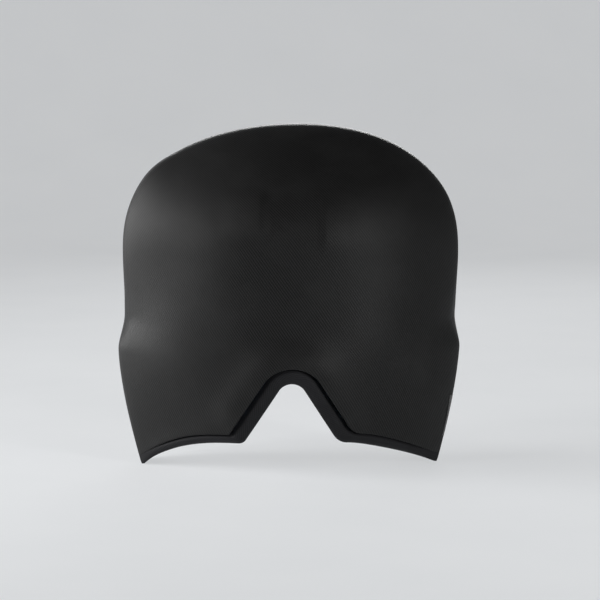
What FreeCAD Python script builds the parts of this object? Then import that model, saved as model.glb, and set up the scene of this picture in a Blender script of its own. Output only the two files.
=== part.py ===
import FreeCAD, Part
import math
import os

# A pull-on gel cap that covers the forehead and eyes: two padded panels, front and back, sewn together
# along the sides and over the crown, with a bound hem that is arched over the nose and at the nape.
# Millimetres. The wearer faces -Y, +X is to the right of someone facing the cap, +Z is up.
# The cap stands on its hem. Its seam between front and back lies in one upright plane.

os.makedirs("parts", exist_ok=True)

doc = FreeCAD.newDocument("GelEyeCap")
sheet = doc.addObject("Spreadsheet::Sheet", "Dimensions")

dimensions = {
    # Outline of the side and crown seam, as half widths at four heights.
    "hem_half_width": 104.0,
    "bulge_half_width": 120.4,
    "waist_half_width": 115.1,
    "temple_half_width": 118.0,
    "bulge_height": 82.0,
    "waist_height": 103.0,
    "temple_height": 150.0,
    "crown_height": 239.5,
    # How far each panel stands off the seam plane at the bulge.
    "front_depth": 55.0,
    "back_depth": 74.0,
    # Fullness of the outlines: higher is fuller.
    "side_curve": 1.45,
    "dome_fullness": 2.35,
    "front_fullness": 2.3,
    "back_fullness": 0.28,
    # The raised ridge over the bridge of the nose.
    "bridge_rise": 5.0,
    "bridge_half_width": 26.0,
    "bridge_top_height": 98.0,
    "bridge_fade": 30.0,
    # Wall, from the outside in.
    "knit_thickness": 1.5,
    "film_thickness": 0.3,
    "gel_thickness": 4.0,
    "lining_thickness": 1.2,
    # Hem binding.
    "binding_inset": 0.3,
    "binding_fold": 1.2,
    "band_at_lobes": 6.2,
    "band_at_nose": 9.5,
    # Nose arch of the free edge.
    "nose_height": 62.5,
    "nose_radius": 10.5,
    "nose_leg_angle": 57.5,
    "nose_foot_radius": 6.0,
    "seam_foot_radius": 2.0,
    "lobe_height": 19.5,
    "lobe_curve": 2.7,
    # Nape arch of the back hem, between the two flat stretches that the cap stands on.
    "nape_height": 54.0,
    "nape_half_width": 96.0,
    "nape_curve": 1.6,
    # Overlocked seams.
    "seam_allowance": 5.0,
    "shoulder_height": 192.0,
    "overlock_width": 4.5,
    "overlock_height": 0.9,
    # Folded tag in the seam on the cap's +X side.
    "tag_low": 19.0,
    "tag_length": 30.0,
    "tag_width": 4.0,
    "tag_thickness": 0.8,
}
for row, (alias, size) in enumerate(dimensions.items(), start=1):
    sheet.set(f"A{row}", alias.replace("_", " "))
    sheet.set(f"B{row}", str(size))
    sheet.setAlias(f"B{row}", alias)
doc.recompute()


def size_of(alias):
    return float(getattr(sheet, alias))


reach = 400.0  # longer than the cap in any direction
below_hem = 16.0  # how far the layers run on past the hem before they are trimmed
past_seam = 1.1  # and past the seam plane, as a share of the half width and of the dome's rise

crown_rise = size_of("crown_height") - size_of("temple_height")


def smooth_step(start, end, value):
    share = min(1.0, max(0.0, (value - start) / (end - start)))
    return share * share * (3.0 - 2.0 * share)


def seam_half_width(height):
    """Half width of the side seam below the dome, at a height."""
    hem, bulge = size_of("hem_half_width"), size_of("bulge_half_width")
    waist, temple = size_of("waist_half_width"), size_of("temple_half_width")
    bulge_height, waist_height = size_of("bulge_height"), size_of("waist_height")
    if height < bulge_height:
        drop = (bulge_height - height) / bulge_height
        return bulge - (bulge - hem) * drop ** size_of("side_curve")
    if height < waist_height:
        return bulge - (bulge - waist) * smooth_step(bulge_height, waist_height, height)
    return waist + (temple - waist) * smooth_step(waist_height, size_of("temple_height"), height)


def panel_depth(alias, height):
    """Depth of a panel on its centre line below the dome: in proportion to the width there."""
    return size_of(alias) * seam_half_width(height) / size_of("bulge_half_width")


# The front panel meets the seam plane at a slant, so where a layer lies deeper in the wall, its outline
# moves in by more than that depth: by this factor at the sides, and by the other at the crown.
side_slope = size_of("front_fullness") * size_of("front_depth") / size_of("bulge_half_width")
side_inset = math.sqrt(1.0 + side_slope**2) / side_slope
crown_slope = size_of("front_fullness") * size_of("front_depth") / crown_rise
crown_inset = math.sqrt(1.0 + crown_slope**2) / crown_slope


def front_bow(share):
    """Share of the way out from the centre line, and of the depth: 1 - share^fullness."""
    return share, 1.0 - share ** size_of("front_fullness")


def back_bow(share):
    """A quarter turn from the centre line to the seam, its sine widened towards the middle of the turn."""
    turn = share * math.pi / 2.0
    widen = 1.0 + size_of("back_fullness") * math.cos(turn) ** 2
    return math.sin(turn) * widen, math.cos(turn)


def bridge(x, height):
    """The ridge over the nose: a bell across, fading out upwards."""
    top, fade = size_of("bridge_top_height"), size_of("bridge_fade")
    bell = math.exp(-((x / size_of("bridge_half_width")) ** 2))
    return size_of("bridge_rise") * bell * (1.0 - smooth_step(top - fade, top, height))


def wall_point(panel, depth_in_wall, across, level):
    """A point of the surface at a depth in a panel's wall.

    across is -1 and 1 on the side seams. level is a height up to the temples, and from there 0 to 1 up to
    the crown, where across and level make a superellipse that is 1 on the crown seam.
    """
    temple, power = size_of("temple_height"), size_of("dome_fullness")
    below = isinstance(level, tuple)
    height = level[0] if below else temple
    up = 0.0 if below else level
    share = (abs(across) ** power + up**power) ** (1.0 / power)
    out, bow = front_bow(share) if panel == "front" else back_bow(share)
    spread = out / share if share > 0.0 else 1.0
    x = across * spread * (seam_half_width(height) - depth_in_wall * side_inset)
    z = height + up * spread * (crown_rise - depth_in_wall * crown_inset)
    depth = (panel_depth(f"{panel}_depth", height) - depth_in_wall) * bow
    if panel == "front":
        return FreeCAD.Vector(x, -depth - bridge(x, z), z)
    return FreeCAD.Vector(x, depth, z)


def wall_surface(panel, depth_in_wall):
    """The whole surface at a depth in a panel's wall, run on past the hem and the seams."""
    bulge, waist, temple = size_of("bulge_height"), size_of("waist_height"), size_of("temple_height")
    side_steps, dome_steps = 11, 9
    heights = [-below_hem] + [bulge * share for share in (0.0, 0.2, 0.4, 0.6, 0.77, 0.9, 1.0)]
    heights += [bulge + (waist - bulge) * share for share in (0.25, 0.5, 0.75, 1.0)]
    heights += [waist + (temple - waist) * share for share in (0.16, 0.4, 0.7, 1.0)]
    levels = [(height,) for height in heights]
    levels += [past_seam * step / dome_steps for step in range(1, dome_steps + 1)]
    rows = [
        [
            wall_point(panel, depth_in_wall, past_seam * step / side_steps, level)
            for step in range(-side_steps, side_steps + 1)
        ]
        for level in levels
    ]
    surface = Part.BSplineSurface()
    surface.interpolate(rows)
    return surface.toShape()


def vector(x, height):
    return FreeCAD.Vector(x, 0.0, height)


def smooth_edge(points):
    """A curve through points that run towards +X."""
    curve = Part.BSplineCurve()
    curve.interpolate(Points=points, Parameters=[point.x for point in points])
    return curve.toShape()


def half_front_line(nose_band, lobe_band, foot_radius):
    """The +X half of a line that runs at a set width above the front's free edge, from the nose outwards.

    It is an arc over the nose, a straight leg, an arc at the foot of the leg and the lobe's curve, whose
    height falls from the lobe's by a power of the distance from the foot.
    """
    slant = math.radians(size_of("nose_leg_angle"))
    radius = size_of("nose_radius") + nose_band
    centre_height = size_of("nose_height") - size_of("nose_radius")
    top = vector(0.0, centre_height + radius)
    over = vector(radius * math.sin(slant / 2.0), centre_height + radius * math.cos(slant / 2.0))
    leg_top = vector(radius * math.sin(slant), centre_height + radius * math.cos(slant))
    lobe = size_of("lobe_height") + lobe_band
    foot_height = lobe + foot_radius * (1.0 - math.cos(slant))
    foot_x = leg_top.x + (leg_top.z - foot_height) / math.tan(slant)
    leg_foot = vector(foot_x, foot_height)
    level_x = foot_x + foot_radius * math.sin(slant)
    bend = vector(
        level_x - foot_radius * math.sin(slant / 2.0), lobe + foot_radius * (1.0 - math.cos(slant / 2.0))
    )
    level = vector(level_x, lobe)
    tip_x = size_of("hem_half_width")
    steps = 8
    lobe_points = []
    for step in range(steps + 1):
        share = step / steps
        fall = size_of("lobe_height") * share ** size_of("lobe_curve")
        lobe_points.append(vector(level_x + (tip_x - level_x) * share, lobe - fall))
    return [
        Part.Arc(top, over, leg_top).toShape(),
        Part.LineSegment(leg_top, leg_foot).toShape(),
        Part.Arc(leg_foot, bend, level).toShape(),
        smooth_edge(lobe_points),
        Part.LineSegment(lobe_points[-1], vector(reach, lobe_points[-1].z)).toShape(),
    ]


def front_line(nose_band, lobe_band, foot_radius):
    right = half_front_line(nose_band, lobe_band, foot_radius)
    left = [edge.mirror(FreeCAD.Vector(), FreeCAD.Vector(1, 0, 0)) for edge in right]
    return left[::-1] + right


def back_line(band):
    """Flat on both sides, with the nape arch between: height times (1 - (x / half width)^2)^power."""
    flat, steps = size_of("nape_half_width"), 8
    points = []
    for step in range(-steps, steps + 1):
        share = step / steps
        rise = size_of("nape_height") * (1.0 - share * share) ** size_of("nape_curve")
        points.append(vector(flat * share, band + rise))
    return [
        Part.LineSegment(vector(-reach, band), points[0]).toShape(),
        smooth_edge(points),
        Part.LineSegment(points[-1], vector(reach, band)).toShape(),
    ]


def face_between(lower, upper):
    """The upright face between two lines that both run from -X to +X."""
    lower_wire = Part.Wire(Part.__sortEdges__(lower))
    upper_wire = Part.Wire(Part.__sortEdges__(upper))
    ends = [min(w.Vertexes, key=lambda v: v.X * side).Point for w in (lower_wire, upper_wire) for side in (1, -1)]
    sides = [
        Part.LineSegment(ends[0], ends[2]).toShape(),
        Part.LineSegment(ends[1], ends[3]).toShape(),
    ]
    return Part.Face(Part.Wire(Part.__sortEdges__([*lower_wire.Edges, *upper_wire.Edges, *sides])))


sky_line = [Part.LineSegment(vector(-reach, reach), vector(reach, reach)).toShape()]
towards = {"front": FreeCAD.Vector(0, -1, 0), "back": FreeCAD.Vector(0, 1, 0)}
sign = {"front": "-", "back": ""}


def upright_region(name, face, panel, start="", depth=""):
    """A face of the seam plane pushed out towards a panel, from a start distance and over a depth."""
    outline = doc.addObject("Part::Feature", name + "_outline")
    outline.Shape = face
    if start:
        outline.setExpression("Placement.Base.y", f"{sign[panel]}Dimensions.{start}")
    region = doc.addObject("Part::Extrusion", name)
    region.Base = outline
    region.DirMode = "Custom"
    region.Dir = towards[panel]
    region.Solid = True
    region.LengthFwd = reach
    if depth:
        region.setExpression("LengthFwd", f"Dimensions.{depth}")
    return region


def join(kind, name, base, tool):
    result = doc.addObject(kind, name)
    result.Base = base
    result.Tool = tool
    return result


def common(name, base, tool):
    return join("Part::Common", name, base, tool)


def cut(name, base, tool):
    return join("Part::Cut", name, base, tool)


surfaces = {}


def layer(name, panel, outer_depth, inner_depth):
    """The wall between two depths: two surfaces joined round their rims by ruled strips."""
    faces = []
    for depth in (outer_depth, inner_depth):
        key = (panel, round(depth, 6))
        if key not in surfaces:
            surfaces[key] = wall_surface(panel, depth)
        faces.append(surfaces[key])
    strips = [Part.makeRuledSurface(a, b) for a, b in zip(faces[0].Edges, faces[1].Edges)]
    shell = Part.Shell([*faces, *strips])
    shell.sewShape()
    solid = Part.Solid(shell)
    if solid.Volume < 0.0:
        solid.reverse()
    wall = doc.addObject("Part::Feature", name)
    wall.Shape = solid
    return wall


# Depths of the faces between the wall's layers.
under_knit = size_of("knit_thickness")
under_outer_film = under_knit + size_of("film_thickness")
under_gel = under_outer_film + size_of("gel_thickness")
under_inner_film = under_gel + size_of("film_thickness")
inner_face = under_inner_film + size_of("lining_thickness")
overlock_face = inner_face + size_of("overlock_height")

band_lobes, band_nose = size_of("band_at_lobes"), size_of("band_at_nose")
fold, overlock_width = size_of("binding_fold"), size_of("overlock_width")
nose_foot, seam_foot = size_of("nose_foot_radius"), size_of("seam_foot_radius")

# Lines along the hem: the free edge, the inside of the binding's fold, the binding's seam, and the far
# edge of the overlocking above that seam.
hem_lines = {
    "front": {
        "edge": front_line(0.0, 0.0, nose_foot),
        "fold": front_line(fold, fold, nose_foot - fold),
        "seam": front_line(band_nose, band_lobes, seam_foot),
        "overlock": front_line(band_nose + overlock_width, band_lobes + overlock_width, seam_foot),
    },
    "back": {
        "edge": back_line(0.0),
        "fold": back_line(fold),
        "seam": back_line(band_lobes),
        "overlock": back_line(band_lobes + overlock_width),
    },
}

pieces = {}
for panel in ("front", "back"):
    lines = hem_lines[panel]
    above_seam = upright_region(f"{panel}_above_seam", face_between(lines["seam"], sky_line), panel)
    above_fold = upright_region(f"{panel}_above_fold", face_between(lines["fold"], sky_line), panel)
    band_zone = upright_region(f"{panel}_band_zone", face_between(lines["edge"], lines["seam"]), panel)
    overlock_zone = upright_region(
        f"{panel}_overlock_zone", face_between(lines["seam"], lines["overlock"]), panel
    )

    # Knit outside, lining inside, both from the binding's seam to the seam plane.
    knit = layer(f"{panel}_knit_layer", panel, 0.0, under_knit)
    pieces[f"{panel}_outer_panel"] = common(f"{panel}_outer_panel", knit, above_seam)
    lining = layer(f"{panel}_lining_layer", panel, under_inner_film, inner_face)
    pieces[f"{panel}_lining_panel"] = common(f"{panel}_lining_panel", lining, above_seam)

    # The gel pad between its two films, above the binding's fold. The back's stops short of the seam plane,
    # where the seam allowances of both panels are turned to the back.
    padded_zone = above_fold
    if panel == "back":
        padded_zone = upright_region(
            "back_padded_zone", face_between(lines["fold"], sky_line), panel, start="seam_allowance"
        )
    pad_layers = {
        "gel_film_outer": (under_knit, under_outer_film),
        "gel_core": (under_outer_film, under_gel),
        "gel_film_inner": (under_gel, under_inner_film),
    }
    for piece, (outer, inner) in pad_layers.items():
        pad_layer = layer(f"{panel}_{piece}_layer", panel, outer, inner)
        pieces[f"{panel}_{piece}"] = common(f"{panel}_{piece}", pad_layer, padded_zone)

    # The binding folds round the edge of the pad, so it is a channel open upwards.
    inside_wall = layer(f"{panel}_inside_wall", panel, under_knit, under_inner_film)
    binding_wall = layer(f"{panel}_binding_wall", panel, size_of("binding_inset"), inner_face)
    binding_block = common(f"{panel}_binding_block", binding_wall, band_zone)
    channel = common(f"{panel}_binding_channel", inside_wall, above_fold)
    pieces[f"{panel}_hem_binding"] = cut(f"{panel}_hem_binding", binding_block, channel)

    # Overlocked edge of the binding's seam, on the inside of the lining.
    overlock = layer(f"{panel}_overlock_layer", panel, inner_face, overlock_face)
    pieces[f"{panel}_hem_overlock"] = common(f"{panel}_hem_overlock", overlock, overlock_zone)

# The seam allowances of both panels are overlocked together and fill the back wall beside the seam plane,
# between knit and lining: one run up each side and one over the crown.
seam_zone = upright_region(
    "seam_zone", face_between(hem_lines["back"]["fold"], sky_line), "back", depth="seam_allowance"
)
whole_seam = common("whole_seam", doc.getObject("back_inside_wall"), seam_zone)
for name, x_start in (("left_side_seam", -reach), ("right_side_seam", 0.0)):
    side_box = doc.addObject("Part::Box", name + "_zone")
    side_box.Length = reach
    side_box.Width = 2.0 * reach
    side_box.Placement.Base = FreeCAD.Vector(x_start, -reach, 0.0)
    side_box.setExpression("Height", "Dimensions.shoulder_height")
    pieces[name] = common(name, whole_seam, side_box)
crown_box = doc.addObject("Part::Box", "crown_seam_zone")
crown_box.Length = 2.0 * reach
crown_box.Width = 2.0 * reach
crown_box.Height = reach
crown_box.Placement.Base = FreeCAD.Vector(-reach, -reach, 0.0)
crown_box.setExpression("Placement.Base.z", "Dimensions.shoulder_height")
pieces["crown_seam"] = common("crown_seam", whole_seam, crown_box)

# The tag's fold lies on the front panel, along the seam on the +X side.
tag_box = doc.addObject("Part::Box", "side_tag_zone")
tag_box.Length = reach
tag_box.setExpression("Width", "Dimensions.tag_width")
tag_box.setExpression("Height", "Dimensions.tag_length")
tag_box.setExpression("Placement.Base.y", "-Dimensions.tag_width")
tag_box.setExpression("Placement.Base.z", "Dimensions.tag_low")
tag_layer = layer("side_tag_layer", "front", -size_of("tag_thickness"), 0.0)
pieces["side_tag"] = common("side_tag", tag_layer, tag_box)

# The origin is under the middle of the cap's box, so the seam plane moves by half of what the panels
# differ in reach.
heights_below_temple = range(int(size_of("temple_height")))
front_reach = max(panel_depth("front_depth", height) + bridge(0.0, height) for height in heights_below_temple)
seam_row = len(dimensions) + 1
sheet.set(f"A{seam_row}", "seam plane y, worked out")
sheet.set(f"B{seam_row}", str((front_reach - size_of("back_depth")) / 2.0))
sheet.setAlias(f"B{seam_row}", "seam_plane_y")

for name, piece in pieces.items():
    piece.Label = name
    piece.setExpression("Placement.Base.y", "Dimensions.seam_plane_y")

doc.recompute()

for thing in doc.Objects:
    if "Invalid" in thing.State or "Error" in thing.State:
        raise RuntimeError(f"{thing.Label} failed: {thing.State}")
for name, piece in pieces.items():
    shape = piece.Shape
    if shape.isNull() or not shape.isValid() or not shape.Solids:
        raise RuntimeError(f"{name} has no valid solid")
for name, piece in pieces.items():
    shape = piece.Shape
    shape.exportStep(f"parts/{name}.step")
    print(f"{name}: {len(shape.Solids)} solid(s), {shape.Volume / 1000.0:.2f} cm3")
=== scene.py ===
import math

import bmesh
import bpy
import numpy as np
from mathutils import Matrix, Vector


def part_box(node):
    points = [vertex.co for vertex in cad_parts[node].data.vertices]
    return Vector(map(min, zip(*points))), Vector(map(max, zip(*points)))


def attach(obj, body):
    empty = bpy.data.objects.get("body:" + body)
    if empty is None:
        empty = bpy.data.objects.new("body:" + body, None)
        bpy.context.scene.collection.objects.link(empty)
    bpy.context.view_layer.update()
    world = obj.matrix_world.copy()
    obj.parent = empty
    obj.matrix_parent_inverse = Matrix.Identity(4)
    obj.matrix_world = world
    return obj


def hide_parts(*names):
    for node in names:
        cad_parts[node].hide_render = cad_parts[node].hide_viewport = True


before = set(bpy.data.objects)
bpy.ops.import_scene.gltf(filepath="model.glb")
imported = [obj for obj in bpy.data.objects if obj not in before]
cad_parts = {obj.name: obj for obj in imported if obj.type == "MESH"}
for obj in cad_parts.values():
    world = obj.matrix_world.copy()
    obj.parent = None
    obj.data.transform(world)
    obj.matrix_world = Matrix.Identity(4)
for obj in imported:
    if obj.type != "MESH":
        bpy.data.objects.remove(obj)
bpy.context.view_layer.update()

# A pull-on gel cap for the head and eyes. It stands on its hem and faces -Y.
# Its front and back panels meet in one upright plane, the seam plane.
# The shapes are worked out in millimetres and become metres in meshFrom.

mm = 0.001

capShape = {
    "hemHalfWidth": 104.8,
    "bulgeHalfWidth": 120.4,
    "waistHalfWidth": 115.1,
    "templeHalfWidth": 118.0,
    "bulgeHeight": 82.0,
    "waistHeight": 103.0,
    "templeHeight": 150.0,
    "crownHeight": 239.5,
    "frontDepth": 55.0,
    "backDepth": 74.0,
    "sideCurve": 1.45,
    "domeFullness": 2.35,
    "frontFullness": 2.3,
    "backFullness": 0.28,
    "bridgeRise": 5.0,
    "bridgeHalfWidth": 26.0,
    "bridgeTop": 98.0,
    "bridgeFade": 30.0,
    "waistFade": 6.0,
    "wall": 7.3,
}
crownRise = capShape["crownHeight"] - capShape["templeHeight"]
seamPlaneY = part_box("front_outer_panel")[1][1] / mm

hemShape = {
    "bandAtLobes": 6.2,
    "bandAtNose": 11.0,
    "noseHeight": 63.6,
    "noseShift": -1.0,
    "noseRadius": 10.5,
    "legAngle": math.radians(57.5),
    "edgeFootRadii": (6.0, 12.0),  # left and right
    "seamFootRadii": (2.0, 13.0),
    "lobeHeight": 20.6,
    "leftLobeCurve": 2.7,
    "rightLobeCurve": 1.4,
    "napeHeight": 54.0,
    "napeHalfWidth": 104.8,
    "napeCurve": 1.6,
}


def smoothStep(start, end, value):
    # 3 s^2 - 2 s^3, with s going from 0 to 1 between start and end
    share = np.clip((value - start) / (end - start), 0.0, 1.0)
    return share * share * (3.0 - 2.0 * share)


def plainHalfWidth(z):
    # bulge - (bulge - hem) * drop^curve below the bulge, and above it a smooth step in to the temples
    s = capShape
    drop = np.clip((s["bulgeHeight"] - z) / s["bulgeHeight"], 0.0, None)
    low = s["bulgeHalfWidth"] - (s["bulgeHalfWidth"] - s["hemHalfWidth"]) * drop ** s["sideCurve"]
    narrowing = smoothStep(s["bulgeHeight"], s["templeHeight"], z)
    return low - (s["bulgeHalfWidth"] - s["templeHalfWidth"]) * narrowing


def seamHalfWidth(z):
    # the same below the bulge, then a smooth step in to the waist and one out to the temples
    s = capShape
    waisting = smoothStep(s["bulgeHeight"], s["waistHeight"], z)
    widening = smoothStep(s["waistHeight"], s["templeHeight"], z)
    middle = s["bulgeHalfWidth"] - (s["bulgeHalfWidth"] - s["waistHalfWidth"]) * waisting
    high = s["waistHalfWidth"] + (s["templeHalfWidth"] - s["waistHalfWidth"]) * widening
    return np.where(z < s["bulgeHeight"], plainHalfWidth(z), np.where(z < s["waistHeight"], middle, high))


def halfWidthAt(share, z):
    # only the side seam draws in at the waist, so the draw fades with share^fade, 1 being the seam
    fade = np.clip(share, 0.0, 1.0) ** capShape["waistFade"]
    return plainHalfWidth(z) - (plainHalfWidth(z) - seamHalfWidth(z)) * fade


# The front meets the seam plane at a slant, so an outline deeper in the wall moves in by more than its depth.
sideSlope = capShape["frontFullness"] * capShape["frontDepth"] / capShape["bulgeHalfWidth"]
sideInset = math.sqrt(1.0 + sideSlope**2) / sideSlope
crownSlope = capShape["frontFullness"] * capShape["frontDepth"] / crownRise
crownInset = math.sqrt(1.0 + crownSlope**2) / crownSlope


def bowOf(panel, share):
    # share of the way out from the centre line, and of the depth, at a share of the way to the seam:
    # front: share and 1 - share^fullness; back: sin(turn) * (1 + fullness * cos(turn)^2) and cos(turn)
    if panel == "front":
        return share, 1.0 - share ** capShape["frontFullness"]
    turn = share * math.pi / 2.0
    return np.sin(turn) * (1.0 + capShape["backFullness"] * np.cos(turn) ** 2), np.cos(turn)


def bridgeOf(x, z):
    # the ridge over the nose: rise * exp(-(x / half width)^2), fading out upwards
    s = capShape
    fade = 1.0 - smoothStep(s["bridgeTop"] - s["bridgeFade"], s["bridgeTop"], z)
    return s["bridgeRise"] * np.exp(-((x / s["bridgeHalfWidth"]) ** 2)) * fade


tipShape = {
    "pinch": 0.7,
    "pinchStart": 76.0,
    "pinchLow": 4.0,
    "pinchHeight": 42.0,
    "lift": 0.5,
    "liftStart": 84.0,
    "lipEase": 0.9,
    "flushStart": 9.0,
    "flushEnd": 1.0,
    "flushDepth": 5.0,
    "topFlush": 0.3,
    "lowFlushShare": 0.25,
}


def sunk(depth, x, z):
    # the hem is thinner where it meets the side seams: depth * (1 - pinch * a step out to them * a step down)
    t = tipShape
    outward = smoothStep(t["pinchStart"], capShape["hemHalfWidth"], np.abs(x))
    near = outward * (1.0 - smoothStep(t["pinchLow"], t["pinchHeight"], z))
    return depth * (1.0 - t["pinch"] * near)


def wallPoints(panel, across, level, depth):
    # across is -1 and 1 on the side seams. level is a height up to the temples. Above them it gives up,
    # 0 to 1 at the crown, and |across|^p + up^p = share^p with p the dome's fullness.
    s = capShape
    p = s["domeFullness"]
    z = np.minimum(level, s["templeHeight"])
    up = np.clip((level - s["templeHeight"]) / crownRise, 0.0, None)
    share = (np.abs(across) ** p + up**p) ** (1.0 / p)
    out, bow = bowOf(panel, share)
    spread = np.where(share > 1e-9, out / np.maximum(share, 1e-9), bowOf(panel, 1e-6)[0] / 1e-6)
    depth = sunk(depth, across * spread * halfWidthAt(share, z), z)
    x = across * spread * (halfWidthAt(share, z) - depth * sideInset)
    height = z + up * spread * (crownRise - depth * crownInset)
    reach = (s[panel + "Depth"] * plainHalfWidth(z) / s["bulgeHalfWidth"] - depth) * bow
    y = -reach - bridgeOf(x, height) if panel == "front" else reach
    return np.stack(np.broadcast_arrays(x, y + seamPlaneY, height), axis=-1)


backShares = np.linspace(0.0, 1.0, 6001)
backOuts, backBows = bowOf("back", backShares)


def wallY(panel, x, z, depth):
    # the same surface as y over x and z: the share is |x| over the half width, found by repeating, and in the
    # dome ((|x| / width)^p + (rise / crown rise)^p)^(1 / p)
    s = capShape
    p = s["domeFullness"]
    base = np.minimum(z, s["templeHeight"])
    depth = sunk(depth, x, z)
    side = np.abs(x) / plainHalfWidth(base)
    for _ in range(12):
        inner = side if panel == "front" else np.interp(side, backOuts, backShares)
        side = np.abs(x) / (halfWidthAt(inner, base) - depth * sideInset)
    up = np.clip((z - s["templeHeight"]) / (crownRise - depth * crownInset), 0.0, None)
    share = (side**p + up**p) ** (1.0 / p)
    reach = s[panel + "Depth"] * plainHalfWidth(base) / s["bulgeHalfWidth"] - depth
    if panel == "front":
        return seamPlaneY - reach * (1.0 - share ** s["frontFullness"]) - bridgeOf(x, z)
    return seamPlaneY + reach * np.interp(share, backOuts, backBows)


def halfFrontLine(noseBand, lobeBand, footRadius, lobeCurve, counts=(26, 26, 8, 70)):
    # one half of a line above the front's free edge: an arc over the nose, a straight leg, an arc at its
    # foot, and the lobe, whose height falls by share^curve
    h = hemShape
    slant = h["legAngle"]
    radius = h["noseRadius"] + noseBand
    centre = h["noseHeight"] - h["noseRadius"]
    turn = np.linspace(0.0, slant, counts[0] + 1)
    arc = np.stack([radius * np.sin(turn), centre + radius * np.cos(turn)], -1)
    lobe = h["lobeHeight"] + lobeBand
    footHeight = lobe + footRadius * (1.0 - math.cos(slant))
    footX = arc[-1, 0] + (arc[-1, 1] - footHeight) / math.tan(slant)
    leg = np.linspace(arc[-1], (footX, footHeight), counts[1] + 1)
    levelX = footX + footRadius * math.sin(slant)
    bend = np.linspace(slant, 0.0, counts[2] + 1)
    foot = np.stack([levelX - footRadius * np.sin(bend), lobe + footRadius * (1.0 - np.cos(bend))], -1)
    share = np.sin(np.linspace(0.0, math.pi / 2.0, counts[3] + 1))
    lobeX = levelX + (capShape["hemHalfWidth"] - levelX) * share
    tip = np.stack([lobeX, lobe - h["lobeHeight"] * share**lobeCurve], -1)
    return np.concatenate([arc, leg[1:], foot[1:], tip[1:]])


def frontLine(noseBand, lobeBand, footRadii):
    left = halfFrontLine(noseBand, lobeBand, footRadii[0], hemShape["leftLobeCurve"])
    right = halfFrontLine(noseBand, lobeBand, footRadii[1], hemShape["rightLobeCurve"])
    line = np.concatenate([left[:0:-1] * (-1.0, 1.0), right])
    # the arch sits a little to the left
    line[:, 0] += hemShape["noseShift"] * (1.0 - smoothStep(40.0, 90.0, np.abs(line[:, 0])))
    return line


def backLine(band, count=120):
    # level at the sides, with the nape arch between: height * (1 - (x / half width)^2)^curve
    h = hemShape
    x = capShape["hemHalfWidth"] * np.sin(np.linspace(-math.pi / 2.0, math.pi / 2.0, 2 * count + 1))
    inside = np.clip(1.0 - (x / h["napeHalfWidth"]) ** 2, 0.0, None)
    return np.stack([x, band + h["napeHeight"] * inside ** h["napeCurve"]], -1)


def seamLine(panel, extra=0.0):
    h = hemShape
    if panel == "front":
        return frontLine(h["bandAtNose"] + extra, h["bandAtLobes"] + extra, h["seamFootRadii"])
    return backLine(h["bandAtLobes"] + extra)


def edgeLine(panel):
    if panel == "front":
        return frontLine(0.0, 0.0, hemShape["edgeFootRadii"])
    return backLine(0.0)


def tipLift(x, depth):
    # towards the side seams the inside of the hem is cut higher: lift * (depth / wall)^1.2 * a smooth step
    share = np.clip(depth / capShape["wall"], 0.0, 1.0) ** 1.2
    return tipShape["lift"] * share * smoothStep(tipShape["liftStart"], capShape["hemHalfWidth"], np.abs(x))


settleShape = {
    "shoulderDrop": 2.8,
    "shoulderRise": (150.0, 212.0),
    "shoulderOuter": (-104.0, -76.0),
    "shoulderInner": (-72.0, 14.0),
    "sideLean": 1.3,
    "leanRise": (70.0, 125.0),
    "leanFall": (185.0, 228.0),
}


def settled(points):
    # Soft as it is, the cap stands a little uneven. The left shoulder sinks by drop * a step up from the
    # temples * a step in from the side * a step out to the crown. The middle leans right by lean * two steps.
    s = settleShape
    x, y, z = points[..., 0], points[..., 1], points[..., 2]
    drop = smoothStep(*s["shoulderRise"], z) * smoothStep(*s["shoulderOuter"], x)
    drop = drop * (1.0 - smoothStep(*s["shoulderInner"], x))
    lean = smoothStep(*s["leanRise"], z) * (1.0 - smoothStep(*s["leanFall"], z))
    return np.stack([x + s["sideLean"] * lean, y, z - s["shoulderDrop"] * drop], -1)


# ---- meshes


def meshFrom(name, points, uv=None, attributes=None, closeRows=False, settle=True):
    # a grid of points, rows by columns, becomes quads between neighbours
    if settle:
        points = settled(points)
    rows, columns = points.shape[:2]
    index = np.arange(rows * columns).reshape(rows, columns)
    if closeRows:
        index = np.concatenate([index, index[:1]], 0)
    quads = np.stack([index[:-1, :-1], index[:-1, 1:], index[1:, 1:], index[1:, :-1]], -1).reshape(-1, 4)
    mesh = bpy.data.meshes.new(name)
    mesh.from_pydata((points.reshape(-1, 3) * mm).tolist(), [], quads.tolist())
    mesh.polygons.foreach_set("use_smooth", np.ones(len(mesh.polygons), dtype=bool))
    if uv is not None:
        corner = np.zeros(len(mesh.loops), dtype=np.int32)
        mesh.loops.foreach_get("vertex_index", corner)
        layer = mesh.uv_layers.new(name="cloth")
        layer.uv.foreach_set("vector", (uv.reshape(-1, 2)[corner] * mm).astype(np.float32).ravel())
    for key, values in (attributes or {}).items():
        layer = mesh.attributes.new(key, "FLOAT", "POINT")
        layer.data.foreach_set("value", np.broadcast_to(values, (rows, columns)).astype(np.float32).ravel())
    mesh.update()
    piece = bpy.data.objects.new(name, mesh)
    bpy.context.scene.collection.objects.link(piece)
    return piece


def clothUv(points):
    # distance along each row from its middle, and along the middle column, as a flat pattern would lie
    step = np.linalg.norm(np.diff(points, axis=1), axis=2)
    along = np.concatenate([np.zeros((len(points), 1)), np.cumsum(step, axis=1)], 1)
    along -= along[:, along.shape[1] // 2][:, None]
    rise = np.linalg.norm(np.diff(points, axis=0), axis=2)
    up = np.concatenate([np.zeros((1, points.shape[1])), np.cumsum(rise, axis=0)], 0)
    return np.stack([along, up + points[:1, :, 2]], -1)


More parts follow.
